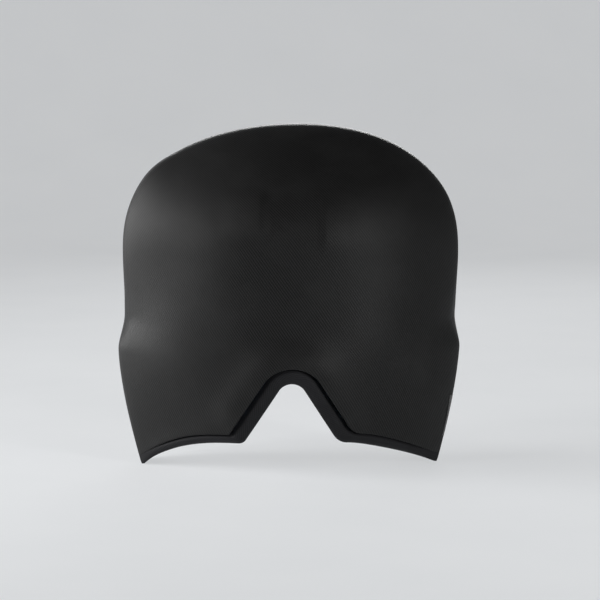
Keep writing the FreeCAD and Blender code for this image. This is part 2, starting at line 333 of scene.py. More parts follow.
def wallUv(panel, points):
    # The cloth's own grain over the whole panel: x * (1 + share * (reach - y) / half width) and
    # height + (depth - reach), the reach being the wall's own at the middle of that height.
    x, away, z = points[..., 0], np.abs(points[..., 1] - seamPlaneY), points[..., 2]
    levels = np.linspace(0.0, capShape["crownHeight"] - 0.01, 500)
    reach = np.interp(z, levels, np.abs(wallY(panel, np.zeros_like(levels), levels, 0.0) - seamPlaneY))
    share = {"front": 0.5, "back": 1.0}[panel] / capShape["bulgeHalfWidth"]
    u = x * (1.0 + share * np.clip(reach - away, 0.0, None))
    if panel == "back":
        u = -u
    return np.stack([u, z + capShape[panel + "Depth"] - reach], -1)


def thicken(piece, thickness, offset=-1.0):
    wall = piece.modifiers.new("wall", "SOLIDIFY")
    wall.thickness = thickness * mm
    wall.offset = offset
    wall.use_even_offset = False
    return piece


# ---- outer knit and lining

knitShape = {
    "noseColumns": 50,
    "noseShare": 0.34,
    "sideColumns": 58,
    "rows": 140,
    "rowCrowding": 1.6,
    "creaseDepth": 0.3,
    "creaseWidth": 1.6,
    "puff": 0.5,
    "puffWidth": 6.0,
    "lipRadius": 1.3,
    "lipRows": 7,
    "lipTuck": 2.6,
    "thickness": 1.2,
}


def columnShares(shape):
    # evenly spaced near the nose, then by the sine of an even angle, so columns crowd towards the side seams
    near = np.linspace(0.0, shape["noseShare"], shape["noseColumns"], endpoint=False)
    far = np.sin(np.linspace(math.asin(shape["noseShare"]), math.pi / 2.0, shape["sideColumns"] + 1))
    half = np.concatenate([near, far])
    return np.concatenate([-half[:0:-1], half])


def lowerLevels(panel, across, line, depth):
    # The level at which each column meets a line, found by repeating: x at this level, then the line's
    # height at x.
    level = np.full_like(across, 10.0)
    for _ in range(60):
        x = wallPoints(panel, across, level, depth)[:, 0]
        level = 0.5 * level + 0.5 * np.interp(x, line[:, 0], line[:, 1])
    return level


def seamRoll(shape, toSeam):
    # how the cloth dips into the seam: crease * exp(-(d / width)^2) - puff * (1 - exp(-(d / puff width)^2))
    dip = shape["creaseDepth"] * np.exp(-((toSeam / shape["creaseWidth"]) ** 2))
    return dip - shape["puff"] * (1.0 - np.exp(-((toSeam / shape["puffWidth"]) ** 2)))


def panelGrid(panel, shape, depth, lipDepth, relief=None):
    # Columns run up from the hem seam to the crown seam, and row v is at
    # low + (high - low) * (1 - (1 - v)^crowding). At the hem seam the lip rolls round a quarter circle
    # into the wall and on into the groove.
    s = capShape
    across = columnShares(shape)
    p = s["domeFullness"]
    low = lowerLevels(panel, across, seamLine(panel, shape["lipRadius"]), depth)
    high = s["templeHeight"] + crownRise * np.clip(1.0 - np.abs(across) ** p, 0.0, None) ** (1.0 / p)
    v = np.linspace(0.0, 1.0, shape["rows"])[:, None]
    level = low + (high - low) * (1.0 - (1.0 - v) ** shape["rowCrowding"])
    wide = np.broadcast_to(across, level.shape)
    up = np.clip((level - s["templeHeight"]) / crownRise, 0.0, None)
    share = (np.abs(wide) ** p + up**p) ** (1.0 / p)
    out, bow = bowOf(panel, np.clip(share, 0.0, 1.0))
    toSeam = np.hypot((1.0 - out) * s["templeHalfWidth"], bow * s[panel + "Depth"])
    body = depth + lipDepth * seamRoll(shape, toSeam)
    if relief is not None:
        plain = wallPoints(panel, wide, level, depth)
        body = body + relief(panel, plain[..., 0], plain[..., 2], toSeam)
    points = wallPoints(panel, wide, level, body)
    turn = np.linspace(math.pi / 2.0, 0.0, shape["lipRows"], endpoint=False)[:, None]
    radius = shape["lipRadius"]
    tuck = radius + shape["lipTuck"] * np.array([[1.0], [0.5]])
    drop = np.concatenate([np.full((2, 1), radius), radius * np.sin(turn)])
    curl = np.concatenate([tuck, radius * (1.0 - np.cos(turn))])
    # the lip goes down and in from the lowest row
    ground = points[0]
    tangent = points[0] - points[1]
    tangent = tangent / np.linalg.norm(tangent, axis=1, keepdims=True)
    sideways = np.gradient(ground, axis=0)
    sideways = sideways / np.linalg.norm(sideways, axis=1, keepdims=True)
    inward = np.cross(sideways, tangent) * (1.0 if panel == "front" else -1.0) * lipDepth
    downward = np.cross(sideways, inward)
    downward = downward * np.sign(np.sum(downward * tangent, axis=1, keepdims=True))
    if lipDepth < 0.0:
        # near the side seams the lining's lip has little wall to curl into
        near = smoothStep(tipShape["liftStart"], s["hemHalfWidth"], np.abs(ground[:, 0]))
        curl = curl * (1.0 - tipShape["lipEase"] * near)
    lip = ground + downward * drop[..., None] + inward * curl[..., None]
    widest = seamHalfWidth(lip[..., 2])
    lip[..., 0] = np.clip(lip[..., 0], -widest, widest)
    return np.concatenate([lip, points]), np.concatenate([np.repeat(toSeam[:1], len(lip), 0), toSeam])


reliefShape = {
    "archHalfWidth": 34.0,
    "rimRise": 2.2,
    "rimWidth": 12.0,
    "rimOffset": 8.0,
    "rimFade": (14.0, 40.0),
    "waveRise": 0.25,
    "waveAcross": 21.0,
    "waveUp": 27.0,
    "smallWave": (0.6, 11.0, 17.0),
    "waveFade": 14.0,
    "pinchDepth": 0.35,
    "pinchReach": 16.0,
    "pinchHeight": 5.0,
    "pinchRise": 1.5,
    "pinchOffset": 9.0,
    "pinchWidth": 12.0,
    # two gel blocks on the forehead: outer side, inner side, how it drops past it, low, high, soft edge, rise
    "blocks": [(-51.0, -24.0, 9.0, 161.0, 200.0, 11.0, 1.4), (37.0, 21.0, -6.0, 150.0, 197.0, 15.0, 0.8)],
}
archLine = frontLine(hemShape["bandAtNose"], hemShape["bandAtLobes"], hemShape["seamFootRadii"])
archLine = archLine[np.abs(archLine[:, 0]) < reliefShape["archHalfWidth"]]


def lineDistance(x, z, line):
    # the shortest way, in the upright plane, to a line along the hem, a few of its points at a time
    flat = np.stack([x.ravel(), z.ravel()], -1)
    away = np.full(len(flat), np.inf)
    for start in range(0, len(line), 8):
        part = line[start : start + 8]
        gap = np.hypot(*(flat[:, None] - part[None]).transpose(2, 0, 1))
        away = np.minimum(away, gap.min(axis=1))
    return away.reshape(x.shape)


def softRelief(panel, x, z, toSeam):
    # How far the cloth lies below the plain form: slow waves in the gel, rise * sin * sin with a smaller
    # slanting one, and a pinch at the waist beside the seam. The front also has two raised blocks and a rim
    # round the nose arch, rise * exp(-((d - offset) / width)^2).
    r = reliefShape
    share, across, up = r["smallWave"]
    waves = np.sin(x / r["waveAcross"] + 1.1) * np.sin(z / r["waveUp"] + 0.6)
    waves = waves + share * np.sin(x / across - z / up + 2.0)
    waves *= 1.0 - np.exp(-((toSeam / r["waveFade"]) ** 2))
    fromWaist = (z - capShape["waistHeight"] - r["pinchRise"]) / r["pinchHeight"]
    fromSeam = (toSeam - r["pinchOffset"]) / r["pinchWidth"]
    pinch = np.exp(-(fromWaist**2)) * np.exp(-toSeam / r["pinchReach"]) * np.exp(-(fromSeam**2))
    body = -r["waveRise"] * waves + r["pinchDepth"] * pinch
    if panel == "front":
        away = lineDistance(x, z, archLine)
        fade = smoothStep(*r["rimFade"], z)
        # a block rises evenly from its outer side to its inner side and drops softly past it
        for outer, inner, drop, low, high, edge, rise in r["blocks"]:
            ramp = np.clip((x - outer) / (inner - outer), 0.0, 1.0) * (1.0 - smoothStep(0.0, drop, x - inner))
            upright = smoothStep(low, low + edge, z) * (1.0 - smoothStep(high - edge, high, z))
            body = body - rise * ramp * upright
        body = body - r["rimRise"] * np.exp(-(((away - r["rimOffset"]) / r["rimWidth"]) ** 2)) * fade
    return body


pieces = {}
for panel in ("front", "back"):
    points, toSeam = panelGrid(panel, knitShape, 0.0, 1.0, softRelief)
    if panel == "back":
        points, toSeam = points[:, ::-1], toSeam[:, ::-1]
    knit = meshFrom(panel + "Knit", points, wallUv(panel, points), {"toSeam": toSeam})
    thicken(knit, knitShape["thickness"])
    pieces[panel + "Knit"] = knit
print("outer knit made")

liningShape = dict(
    knitShape, rows=110, noseColumns=36, sideColumns=44, creaseDepth=0.8, puff=0.0, thickness=0.8,
)


def liningRelief(panel, x, z, toSeam):
    # the lining is a little loose: shallow waves that fade at the seams
    waves = np.sin(x / 15.0 + 0.4) * np.sin(z / 19.0 + 1.2) + 0.5 * np.sin((x + z) / 9.0)
    return 0.3 * waves * (1.0 - np.exp(-((toSeam / 12.0) ** 2)))


for panel in ("front", "back"):
    points, toSeam = panelGrid(panel, liningShape, capShape["wall"], -1.0, liningRelief)
    if panel == "front":
        points, toSeam = points[:, ::-1], toSeam[:, ::-1]
    lining = meshFrom(panel + "Lining", points, wallUv(panel, points), {"toSeam": toSeam})
    thicken(lining, liningShape["thickness"])
    pieces[panel + "Lining"] = lining
print("lining made")


# ---- gel pads between knit and lining

padShape = {
    "rows": 90,
    "noseColumns": 26,
    "noseShare": 0.34,
    "sideColumns": 34,
    "rowCrowding": 1.6,
    "middle": 3.75,
    "halfThickness": 2.05,
    "seamRound": 3.0,
    "hemRound": 1.2,
    "hemShare": 0.5,
    "flangeStart": 0.8,
    "flangeEnd": 4.5,
    "flange": (4.9, 5.5),
    "frontSeamGap": 1.0,
    "backSeamGap": 5.5,
    "frontReach": capShape["templeHalfWidth"],
    "backReach": 160.0,
    "rimReach": 130.0,
}


def padGrid(panel):
    # Two faces at middle -+ half thickness * sqrt(1 - (1 - d)^2), with d going from 0 on the rim to 1 past
    # the rounding, so the faces meet on the rim. Below the hem seam they close to a thin welded flange.
    q = padShape
    s = capShape
    p = s["domeFullness"]
    across = columnShares(q) * (1.0 - q[panel + "SeamGap"] / q[panel + "Reach"])
    line = edgeLine(panel) + (seamLine(panel) - edgeLine(panel)) * q["hemShare"]
    line[:, 1] += tipLift(line[:, 0], q["flange"][1])
    low = lowerLevels(panel, across, line, q["middle"])
    rim = abs(across[0])
    high = s["templeHeight"] + crownRise * np.clip(rim**p - np.abs(across) ** p, 0.0, None) ** (1.0 / p)
    v = np.linspace(0.0, 1.0, q["rows"])[:, None]
    level = low + (high - low) * (1.0 - (1.0 - v) ** q["rowCrowding"])
    wide = np.broadcast_to(across, level.shape)
    up = np.clip((level - s["templeHeight"]) / crownRise, 0.0, None)
    share = (np.abs(wide) ** p + up**p) ** (1.0 / p)
    toRim = np.clip((rim - share) * q["rimReach"] / q["seamRound"], 0.0, 1.0)
    middlePoints = wallPoints(panel, wide, level, q["middle"])
    x, z = middlePoints[..., 0], middlePoints[..., 2]
    rounding = np.minimum(toRim, np.clip(lineDistance(x, z, line) / q["hemRound"], 0.0, 1.0))
    roundness = np.sqrt(np.clip(1.0 - (1.0 - rounding) ** 2, 0.0, None))
    roundness[0] = 0.0
    above = lineDistance(x, z, seamLine(panel))
    seamLevel = lowerLevels(panel, across, seamLine(panel), q["middle"])
    full = smoothStep(q["flangeStart"], q["flangeEnd"], np.where(level > seamLevel, above, -above))
    middle = 0.5 * sum(q["flange"]) * (1.0 - full) + q["middle"] * full
    half = 0.5 * (q["flange"][1] - q["flange"][0]) * (1.0 - full) + q["halfThickness"] * full
    outer = wallPoints(panel, wide, level, middle - half * roundness)
    inner = wallPoints(panel, wide, level, middle + half * roundness)
    return outer, inner


def mergeRim(piece):
    # corners that lie together become one, and faces are turned outwards
    shell = bmesh.new()
    shell.from_mesh(piece.data)
    bmesh.ops.remove_doubles(shell, verts=shell.verts, dist=0.02 * mm)
    bmesh.ops.dissolve_degenerate(shell, edges=shell.edges, dist=0.001 * mm)
    bmesh.ops.recalc_face_normals(shell, faces=shell.faces)
    shell.to_mesh(piece.data)
    shell.free()
    return piece


for panel in ("front", "back"):
    outer, inner = padGrid(panel)
    both = np.concatenate([outer, inner[::-1]])
    pieces[panel + "GelPad"] = mergeRim(meshFrom(panel + "GelPad", both, closeRows=True))
print("gel pads made")


# ---- hem binding, folded round the edge of the pad

bindingShape = {
    # how far up the band, as a share of its width, and how deep in the wall
    "profile": [
        (1.1, 4.2), (1.04, 3.4), (0.95, 2.55), (0.865, 1.8), (0.79, 1.3), (0.7, 1.1), (0.56, 1.15),
        (0.41, 1.5), (0.27, 2.15), (0.14, 3.1), (0.045, 4.2), (0.0, 5.3), (0.04, 6.25), (0.15, 6.95),
        (0.34, 7.3), (0.6, 7.4), (0.85, 7.35), (1.0, 7.05), (1.08, 6.4),
    ],
    "profilePoints": 46,
    "thickness": 0.6,
}


def smoothThrough(points, count):
    # a Catmull-Rom curve through points, evenly parted
    p = np.asarray(points, dtype=float)
    p = np.concatenate([[2.0 * p[0] - p[1]], p, [2.0 * p[-1] - p[-2]]])
    t = np.linspace(0.0, len(p) - 3 - 1e-9, count)
    k = t.astype(int)
    f = (t - k)[:, None]
    a, b, c, d = p[k], p[k + 1], p[k + 2], p[k + 3]
    square = (2.0 * a - 5.0 * b + 4.0 * c - d) * f**2
    cube = (3.0 * b - a - 3.0 * c + d) * f**3
    return 0.5 * (2.0 * b + (c - a) * f + square + cube)


def bandGrid(panel, lower, upper, profile):
    # Each profile point is a share of the way from the lower to the upper line and a depth in the wall.
    # Near the side seams x is stretched out to the seam itself, and the groove above the band closes.
    hem = capShape["hemHalfWidth"]
    t = tipShape
    rows = []
    for share, depth in profile:
        line = lower + (upper - lower) * share
        if depth < t["flushDepth"]:
            flush = t["topFlush"] if share > 0.7 else t["lowFlushShare"] * depth
            nearTip = smoothStep(hem - t["flushStart"], hem - t["flushEnd"], np.abs(line[:, 0]))
            depth = depth + (flush - depth) * nearTip
        x, z = line[:, 0], line[:, 1] + tipLift(line[:, 0], depth)
        limit = seamHalfWidth(z) - sunk(depth, seamHalfWidth(z), z) * sideInset - 0.02
        x = x + np.sign(x) * smoothStep(t["liftStart"], hem, np.abs(x)) * (limit - hem)
        x = np.clip(x, -limit, limit)
        rows.append(np.stack([x, wallY(panel, x, z, depth), z], -1))
    return np.array(rows)


def bandUv(points):
    step = np.linalg.norm(np.diff(points, axis=1), axis=2)
    along = np.concatenate([np.zeros((len(points), 1)), np.cumsum(step, axis=1)], 1)
    along = np.broadcast_to(along[len(points) // 3], along.shape)
    rise = np.linalg.norm(np.diff(points, axis=0), axis=2)
    up = np.concatenate([np.zeros((1, points.shape[1])), np.cumsum(rise, axis=0)], 0)
    return np.stack([along, up], -1)


for panel in ("front", "back"):
    profile = smoothThrough(bindingShape["profile"], bindingShape["profilePoints"])
    points = bandGrid(panel, edgeLine(panel), seamLine(panel), profile)
    if panel == "front":
        points = points[::-1]
    binding = meshFrom(panel + "Binding", points, bandUv(points))
    thicken(binding, bindingShape["thickness"])
    pieces[panel + "Binding"] = binding


# ---- overlocked edge inside the hem

overlockShape = {
    "width": 4.5,
    "rise": 0.55,
    "sink": 0.15,
    "thickness": 0.3,
    "pitch": 1.9,
    "swing": 0.52,
    "endGap": 2.0,
    "threadRadius": 0.22,
    "sides": 6,
}


def tubeGrid(path, radius, sides):
    # rings of radius * (cos, sin) square to the path's direction
    along = np.gradient(path, axis=0)
    along /= np.linalg.norm(along, axis=1, keepdims=True)
    across = np.cross(along, (0.13, 0.95, 0.28))
    across /= np.linalg.norm(across, axis=1, keepdims=True)
    upward = np.cross(along, across)
    turn = np.linspace(0.0, 2.0 * math.pi, sides, endpoint=False)
    ring = np.cos(turn)[:, None, None] * across + np.sin(turn)[:, None, None] * upward
    return path + radius * ring


def overlockStrip(panel):
    # a low strip over the hem's inner seam: rise * (1 - (2 s - 1)^4)
    o = overlockShape
    lower, upper = seamLine(panel), seamLine(panel, o["width"])
    share = np.linspace(0.0, 1.0, 15)
    rise = o["rise"] * (1.0 - (2.0 * share - 1.0) ** 4)
    return bandGrid(panel, lower, upper, list(zip(share, capShape["wall"] - o["sink"] + rise)))


def overlockThread(panel, phase):
    # a zigzag across the strip: share = 0.5 + swing * cos, lifted over it by a share of the thread's radius
    o = overlockShape
    lower, upper = seamLine(panel), seamLine(panel, o["width"])
    length = np.concatenate([[0.0], np.cumsum(np.linalg.norm(np.diff(lower, axis=0), axis=1))])
    count = int(length[-1] / o["pitch"]) * 12
    s = np.linspace(o["endGap"], length[-1] - o["endGap"], count)
    share = 0.5 + o["swing"] * np.cos(2.0 * math.pi * s / o["pitch"] + phase)
    line = [
        np.interp(s, length, lower[:, k]) * (1.0 - share) + np.interp(s, length, upper[:, k]) * share
        for k in (0, 1)
    ]
    lift = o["rise"] * (1.0 - np.clip(np.abs(2.0 * share - 1.0), 0.0, 1.0) ** 4) + o["threadRadius"] * 0.6
    depth = capShape["wall"] - o["sink"] + lift
    z = line[1] + tipLift(line[0], depth)
    limit = seamHalfWidth(z) - sunk(depth, seamHalfWidth(z), z) * sideInset - 0.3
    x = np.clip(line[0], -limit, limit)
    return np.stack([x, wallY(panel, x, z, depth), z], -1)


for panel in ("front", "back"):
    strip = overlockStrip(panel)
    if panel == "back":
        strip = strip[::-1]
    overlock = meshFrom(panel + "Overlock", strip, bandUv(strip))
    pieces[panel + "Overlock"] = thicken(overlock, overlockShape["thickness"])
    for name, phase in (("ThreadA", 0.0), ("ThreadB", math.pi)):
        tube = tubeGrid(overlockThread(panel, phase), overlockShape["threadRadius"], overlockShape["sides"])
        pieces[panel + name] = meshFrom(panel + name, tube, bandUv(tube), closeRows=True)
print("overlocked edges made")


# ---- folded tag in the side seam

tagShape = {
    "low": 18.5,
    "length": 29.5,
    "thickness": 0.22,
    # way from the seam along the cloth and height over it, round the fold
    "profile": [
        (0.1, -0.1), (0.8, 0.02), (2.2, 0.1), (3.5, 0.12), (4.0, 0.18), (4.1, 0.29), (3.8, 0.4), (2.4, 0.42),
        (0.9, 0.32), (0.1, 0.16),
    ],
    "lowReach": 0.55,
    "profilePoints": 40,
    "rows": 60,
}
profile = smoothThrough(tagShape["profile"], tagShape["profilePoints"])
z = np.linspace(tagShape["low"], tagShape["low"] + tagShape["length"], tagShape["rows"])[:, None]
slant = math.sqrt(1.0 + sideSlope**2)
# sewn in a little askew, so it reaches less far out of the seam at its lower end
lowReach = tagShape["lowReach"]
reach = profile[:, 0] * (lowReach + (1.0 - lowReach) * (z - z[0]) / tagShape["length"])
height = profile[:, 1] - seamRoll(knitShape, np.abs(reach)) + 0.1 * np.sin(z / 4.2) * reach / 4.0
x = seamHalfWidth(z) + height * sideInset - reach / slant
x, z = np.broadcast_arrays(x, z)
tagPoints = np.stack([x, wallY("front", x, z, -height), z], -1)
tag = meshFrom("sideTag", tagPoints, clothUv(tagPoints))
thicken(tag, tagShape["thickness"], 0.0)
pieces["sideTag"] = tag
print("tag made")


# ---- overlocked allowances of the side and crown seams, turned to the back between knit and lining

allowanceShape = {
    "nodes": {
        "leftAllowance": "left_side_seam",
        "rightAllowance": "right_side_seam",
        "crownAllowance": "crown_seam",
    },
    "low": 24.0,
    "shoulder": 192.0,
    "reach": (0.3, 5.2),
    "depth": (2.2, 4.5),
    "stitch": 2.2,
    "stitchRise": 0.14,
    "stitchSlant": 0.8,
    "endRound": 1.2,
    "sides": 22,
}


def allowanceGrid(name):
    # Round the section go two rounded ends: (middle + half * cos^0.5, middle + half * sin^0.7). It runs up
    # the side seam and over the crown, |across|^p + up^p = share^p, and the share falls away from the seam.
    a = allowanceShape
    s = capShape
    p = s["domeFullness"]
    shoulder = ((a["shoulder"] - s["templeHeight"]) / crownRise) ** (p / 2.0)
    if name == "crownAllowance":
        turn = np.linspace(math.asin(shoulder), math.pi - math.asin(shoulder), 820)
        across = np.sign(np.cos(turn)) * np.abs(np.cos(turn)) ** (2.0 / p)
        up = np.sin(turn) ** (2.0 / p)
        base = np.full_like(turn, s["templeHeight"])
    else:
        straight = np.linspace(a["low"], s["templeHeight"], 330, endpoint=False)
        turn = np.linspace(0.0, math.asin(shoulder), 130)
        across = np.concatenate([np.ones_like(straight), np.cos(turn) ** (2.0 / p)])
        across = across * (-1.0 if name == "leftAllowance" else 1.0)
        up = np.concatenate([np.zeros_like(straight), np.sin(turn) ** (2.0 / p)])
        base = np.concatenate([straight, np.full_like(turn, s["templeHeight"])])
    line = wallPoints("back", across, base + up * crownRise, 0.0)
    along = np.concatenate([[0.0], np.cumsum(np.linalg.norm(np.diff(line, axis=0), axis=1))])
    around = np.linspace(0.0, 2.0 * math.pi, a["sides"], endpoint=False)[:, None]
    blunt = np.clip(np.minimum(along, along[-1] - along) / a["endRound"], 0.0, 1.0) ** 0.5
    middle, half = sum(a["reach"]) / 2.0, (a["reach"][1] - a["reach"][0]) / 2.0
    reach = middle + half * blunt * np.sign(np.cos(around)) * np.abs(np.cos(around)) ** 0.5
    deep, thick = sum(a["depth"]) / 2.0, (a["depth"][1] - a["depth"][0]) / 2.0
    depth = deep + thick * blunt * np.sign(np.sin(around)) * np.abs(np.sin(around)) ** 0.7
    stitches = np.sin(2.0 * math.pi * along / a["stitch"] + a["stitchSlant"] * reach)
    depth = depth + a["stitchRise"] * blunt * np.sin(around) * stitches
    share = 1.0 - reach / (s["backDepth"] * math.pi / 2.0)
    return wallPoints("back", across * share, base + up * share * crownRise, depth)


for name in allowanceShape["nodes"]:
    points = allowanceGrid(name)
    pieces[name] = mergeRim(meshFrom(name, points, bandUv(points), closeRows=True))
print("seam allowances made")


# ---- materials


def fromHex(code):
    # an sRGB hex colour as linear light
    parts = [int(code[k : k + 2], 16) / 255.0 for k in (1, 3, 5)]
    return tuple(c / 12.92 if c <= 0.04045 else ((c + 0.055) / 1.055) ** 2.4 for c in parts) + (1.0,)


def addNode(tree, kind, inputs=None, **settings):
    # a node with its settings, and its inputs set or linked
    node = tree.nodes.new(kind)
    for key, value in settings.items():
        setattr(node, key, value)
    for key, value in (inputs or {}).items():
        if isinstance(value, bpy.types.NodeSocket):
            tree.links.new(value, node.inputs[key])
        else:
            node.inputs[key].default_value = value
    return node


def newMaterial(name):
    material = bpy.data.materials.new(name)
    material.use_nodes = True
    tree = material.node_tree
    tree.nodes.clear()
    return material, tree


def finishMaterial(tree, inputs):
    shader = addNode(tree, "ShaderNodeBsdfPrincipled", inputs)
    addNode(tree, "ShaderNodeOutputMaterial", {"Surface": shader.outputs["BSDF"]})


def bandsAt(tree, vector, period, turn, distortion=0.0):
    # a Wave texture has a period of 2 pi / (20 * scale)
    turned = addNode(tree, "ShaderNodeMapping", {"Vector": vector, "Rotation": (0.0, 0.0, turn)})
    return addNode(
        tree,
        "ShaderNodeTexWave",
        {
            "Vector": turned.outputs["Vector"],
            "Scale": 2.0 * math.pi / (20.0 * period),
            "Distortion": distortion,
            "Detail": 1.0,
            "Detail Scale": 2.0,
        },
        wave_type="BANDS",
        bands_direction="X",
    ).outputs["Fac"]


def blendOf(tree, a, b, factor):
    # inputs 6 and 7 and output 2 are a Mix node's colours
    return addNode(tree, "ShaderNodeMix", {0: factor, 6: a, 7: b}, data_type="RGBA").outputs[2]


def rangeOf(tree, value, low, high, toLow, toHigh):
    node = addNode(
        tree,
        "ShaderNodeMapRange",
        {"Value": value, "From Min": low, "From Max": high, "To Min": toLow, "To Max": toHigh},
    )
    return node.outputs["Result"]


def scaled(tree, a, b, operation="MULTIPLY"):
    return addNode(tree, "ShaderNodeMath", {0: a, 1: b}, operation=operation).outputs[0]


def stretchKnit(name, look):
    # Polyester and elastane interlock, brushed: fine slanting ribs, a loop every so far along them, a little
    # fuzz, and a soft sheen at grazing angles.
    material, tree = newMaterial(name)
    if look.get("mapped", True):
        place = addNode(tree, "ShaderNodeUVMap", uv_map="cloth").outputs["UV"]
    else:
        place = addNode(tree, "ShaderNodeTexCoord").outputs["Object"]
    ribs = bandsAt(tree, place, look["ribPeriod"] * mm, look["ribTurn"], 0.35)
    loops = bandsAt(tree, place, look["loopPeriod"] * mm, look["ribTurn"] + math.radians(74.0), 0.5)
    fuzz = addNode(
        tree, "ShaderNodeTexNoise", {"Vector": place, "Scale": 1.0 / (look["fuzzSize"] * mm), "Detail": 3.0}
    ).outputs["Fac"]
    patches = addNode(
        tree, "ShaderNodeTexNoise", {"Vector": place, "Scale": 1.0 / (look["patchSize"] * mm), "Detail": 3.0}
    ).outputs["Fac"]
    cloth = scaled(tree, scaled(tree, ribs, look["ribShare"]), scaled(tree, loops, look["loopShare"]), "ADD")
    cloth = scaled(tree, cloth, scaled(tree, fuzz, look["fuzzShare"]), "ADD")
    worn = fromHex(look["worn"])
    raised = rangeOf(tree, cloth, 0.2, 0.95, 0.0, 1.0)
    colour = blendOf(tree, fromHex(look["valley"]), fromHex(look["thread"]), raised)
    colour = blendOf(tree, colour, worn, rangeOf(tree, patches, 0.45, 0.75, 0.0, look["patchShare"]))
    if look.get("edgeWear"):
        way = addNode(tree, "ShaderNodeAttribute", attribute_name="toSeam").outputs["Fac"]
        colour = blendOf(tree, colour, worn, rangeOf(tree, way, 0.6, 3.5, look["edgeWear"], 0.0))
    rough = rangeOf(tree, fuzz, 0.3, 0.7, look["roughness"] - 0.05, look["roughness"] + 0.06)
    depth = look["bumpDepth"] * mm
    ribs3d = {"Height": cloth, "Strength": look["bump"], "Distance": depth}
    raisedRibs = addNode(tree, "ShaderNodeBump", ribs3d)
    finishMaterial(tree, {
        "Base Color": colour,
        "Roughness": rough,
        "Normal": raisedRibs.outputs["Normal"],
        "IOR": 1.5,
        "Specular IOR Level": look["specular"],
        "Sheen Weight": look["sheen"],
        "Sheen Roughness": 0.45,
        "Sheen Tint": fromHex("#c9ccd2"),
    })
    return material


knitLook = {
    # real ribs are about 0.8 mm apart; drawn coarser so they show
    "ribPeriod": 1.65, "ribTurn": math.radians(-35.0), "loopPeriod": 1.3, "fuzzSize": 0.6, "patchSize": 45.0,
    "ribShare": 0.6, "loopShare": 0.2, "fuzzShare": 0.35, "valley": "#0c0c0c", "thread": "#292929",
    "worn": "#313131", "patchShare": 0.3, "edgeWear": 0.3, "roughness": 0.49, "bump": 0.28, "bumpDepth": 0.25,
    "specular": 0.13, "sheen": 0.03,
}
liningLook = dict(
    knitLook, ribPeriod=1.0, ribTurn=math.radians(90.0), loopPeriod=1.0, valley="#101011", thread="#1d1d1f",
    worn="#242427", roughness=0.75, specular=0.2, sheen=0.2, edgeWear=0.2,
)
bindingLook = dict(
    knitLook, ribPeriod=1.3, ribTurn=math.radians(62.0), valley="#161617", thread="#262628", worn="#303034",
    edgeWear=None, roughness=0.66,
)
threadLook = dict(
    knitLook, ribPeriod=0.6, ribTurn=math.radians(35.0), loopPeriod=0.5, valley="#0e0e0f", thread="#27272a",
    worn="#333337", edgeWear=None, roughness=0.5, specular=0.5, sheen=0.05,
)
tagLook = dict(
    knitLook, ribPeriod=0.7, ribTurn=math.radians(90.0), loopPeriod=0.7, valley="#3a3a3a", thread="#585858",
    worn="#666666", edgeWear=None, roughness=0.45, specular=0.5, sheen=0.1,
)
knitMaterial = stretchKnit("blackStretchKnit", knitLook)
liningMaterial = stretchKnit("blackBrushedLining", liningLook)
bindingMaterial = stretchKnit("blackBindingKnit", bindingLook)
threadMaterial = stretchKnit("blackOverlockThread", threadLook)
allowanceMaterial = stretchKnit("overlockedAllowance", dict(threadLook, mapped=False))
tagMaterial = stretchKnit("satinTagTape", tagLook)


def coldGel():
    # soft PVC gel dyed blue: a waxy body with cloudy streaks and trapped air
    material, tree = newMaterial("bluePvcGel")
    place = addNode(tree, "ShaderNodeTexCoord").outputs["Object"]
    cloudNoise = addNode(tree, "ShaderNodeTexNoise", {"Vector": place, "Scale": 38.0, "Detail": 4.0})
    cloud = cloudNoise.outputs["Fac"]
    bubbles = addNode(
        tree, "ShaderNodeTexVoronoi", {"Vector": place, "Scale": 260.0}, feature="F1"
    ).outputs["Distance"]
    streaks = rangeOf(tree, cloud, 0.35, 0.65, 0.0, 1.0)
    colour = blendOf(tree, fromHex("#2f6fb4"), fromHex("#6fa6dc"), streaks)
    colour = blendOf(tree, fromHex("#b9d5ef"), colour, rangeOf(tree, bubbles, 0.05, 0.16, 0.0, 1.0))
    lumps = addNode(tree, "ShaderNodeBump", {"Height": cloud, "Strength": 0.3, "Distance": 0.4 * mm})
    finishMaterial(tree, {
        "Base Color": colour,
        "Roughness": rangeOf(tree, cloud, 0.3, 0.7, 0.28, 0.42),
        "Normal": lumps.outputs["Normal"],
        "IOR": 1.45,
        "Coat Weight": 0.2,
    })
    return material


gelMaterial = coldGel()


def paint(piece, material):
    piece.data.materials.clear()
    piece.data.materials.append(material)


# ---- what each piece is, stands for and rides on

roles = {
    "Knit": ("_outer_panel", "black_knit", knitMaterial),
    "Lining": ("_lining_panel", "black_lining", liningMaterial),
    "Binding": ("_hem_binding", "hem_binding", bindingMaterial),
    "Overlock": ("_hem_overlock", "black_thread", threadMaterial),
    "ThreadA": (None, "black_thread", threadMaterial),
    "ThreadB": (None, "black_thread", threadMaterial),
    "GelPad": (None, "gel", gelMaterial),
}
for panel in ("front", "back"):
    for role, (node, slot, material) in roles.items():
        piece = pieces[panel + role]
        paint(piece, material)
        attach(piece, "root")
        if node:
            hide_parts(panel + node)
        if role == "GelPad":
            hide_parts(panel + "_gel_core", panel + "_gel_film_outer", panel + "_gel_film_inner")
for name, node in allowanceShape["nodes"].items():
    paint(pieces[name], allowanceMaterial)
    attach(pieces[name], "root")
    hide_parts(node)
paint(tag, tagMaterial)
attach(tag, "root")
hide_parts("side_tag")
print("materials and roles set")

# ---- flat sizes of the cloth, in metres

